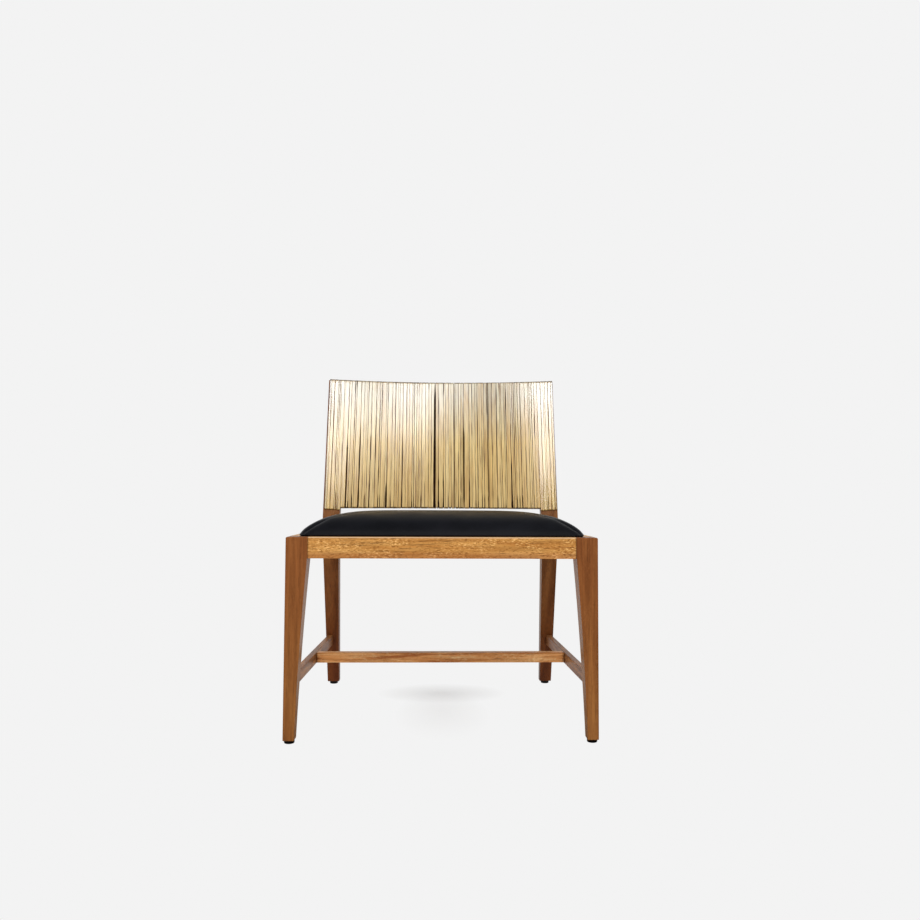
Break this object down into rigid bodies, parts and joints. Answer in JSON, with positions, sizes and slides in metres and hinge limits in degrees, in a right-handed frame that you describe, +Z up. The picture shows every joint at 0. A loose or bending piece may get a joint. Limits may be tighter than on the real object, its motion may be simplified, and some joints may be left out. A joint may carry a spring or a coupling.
{
  "type": "dining chair",
  "caption": "Low-backed dining chair: tapered hardwood frame, curved backrest wrapped in split-bamboo strips, and a crowned leather drop-in seat.",
  "frame": {"origin": "on the floor, in the middle of the chair's bounding box", "axes": "+Z up, -Y towards the front of the chair, +X towards the right side of the picture"},
  "size_m": [0.602, 0.6632, 0.7773],
  "materials": {
    "front_leg_wood": "reddish brown stain, satin lacquer",
    "rear_leg_wood": "dark brown stain, satin lacquer",
    "rail_wood": "golden brown stain, open mottled grain, satin lacquer",
    "stretcher_wood": "mid brown stain, satin lacquer",
    "back_core_wood": "laminated birch, stained dark",
    "back_panel_ply": "dark stained plywood",
    "bamboo": "split bamboo, glossy clear lacquer",
    "board_ply": "bare plywood",
    "seat_foam": "matt polyurethane foam",
    "seat_leather": "smooth black leather, semi-matt",
    "dust_cloth": "thin black non-woven cloth",
    "block_wood": "bare pine",
    "zinc_steel": "zinc plated",
    "glide_plastic": "black moulded plastic"
  },
  "bodies": {
    "root": {"front_leg_left": "front_leg_wood", "front_leg_right": "front_leg_wood", "rear_leg_left": "rear_leg_wood", "rear_leg_right": "rear_leg_wood", "front_rail": "rail_wood", "rear_rail": "rail_wood", "side_rail_left": "rail_wood", "side_rail_right": "rail_wood", "side_stretcher_left": "stretcher_wood", "side_stretcher_right": "stretcher_wood", "cross_stretcher": "stretcher_wood", "back_top_rail": "back_core_wood", "back_bottom_rail": "back_core_wood", "back_panel_front": "back_panel_ply", "back_panel_rear": "back_panel_ply", "bamboo_strips_back": "bamboo", "bamboo_strips_left_post": "bamboo", "bamboo_strips_right_post": "bamboo", "seat_board": "board_ply", "seat_foam": "seat_foam", "seat_cover": "seat_leather", "dust_cover": "dust_cloth", "corner_block_front_left": "block_wood", "corner_block_front_right": "block_wood", "corner_block_rear_left": "block_wood", "corner_block_rear_right": "block_wood", "cleat_front": "block_wood", "cleat_rear": "block_wood", "cleat_left": "block_wood", "cleat_right": "block_wood", "corner_block_screws": "zinc_steel", "seat_screws": "zinc_steel", "foot_glides": "glide_plastic", "glide_nails": "zinc_steel"}
  },
  "joints": []
}
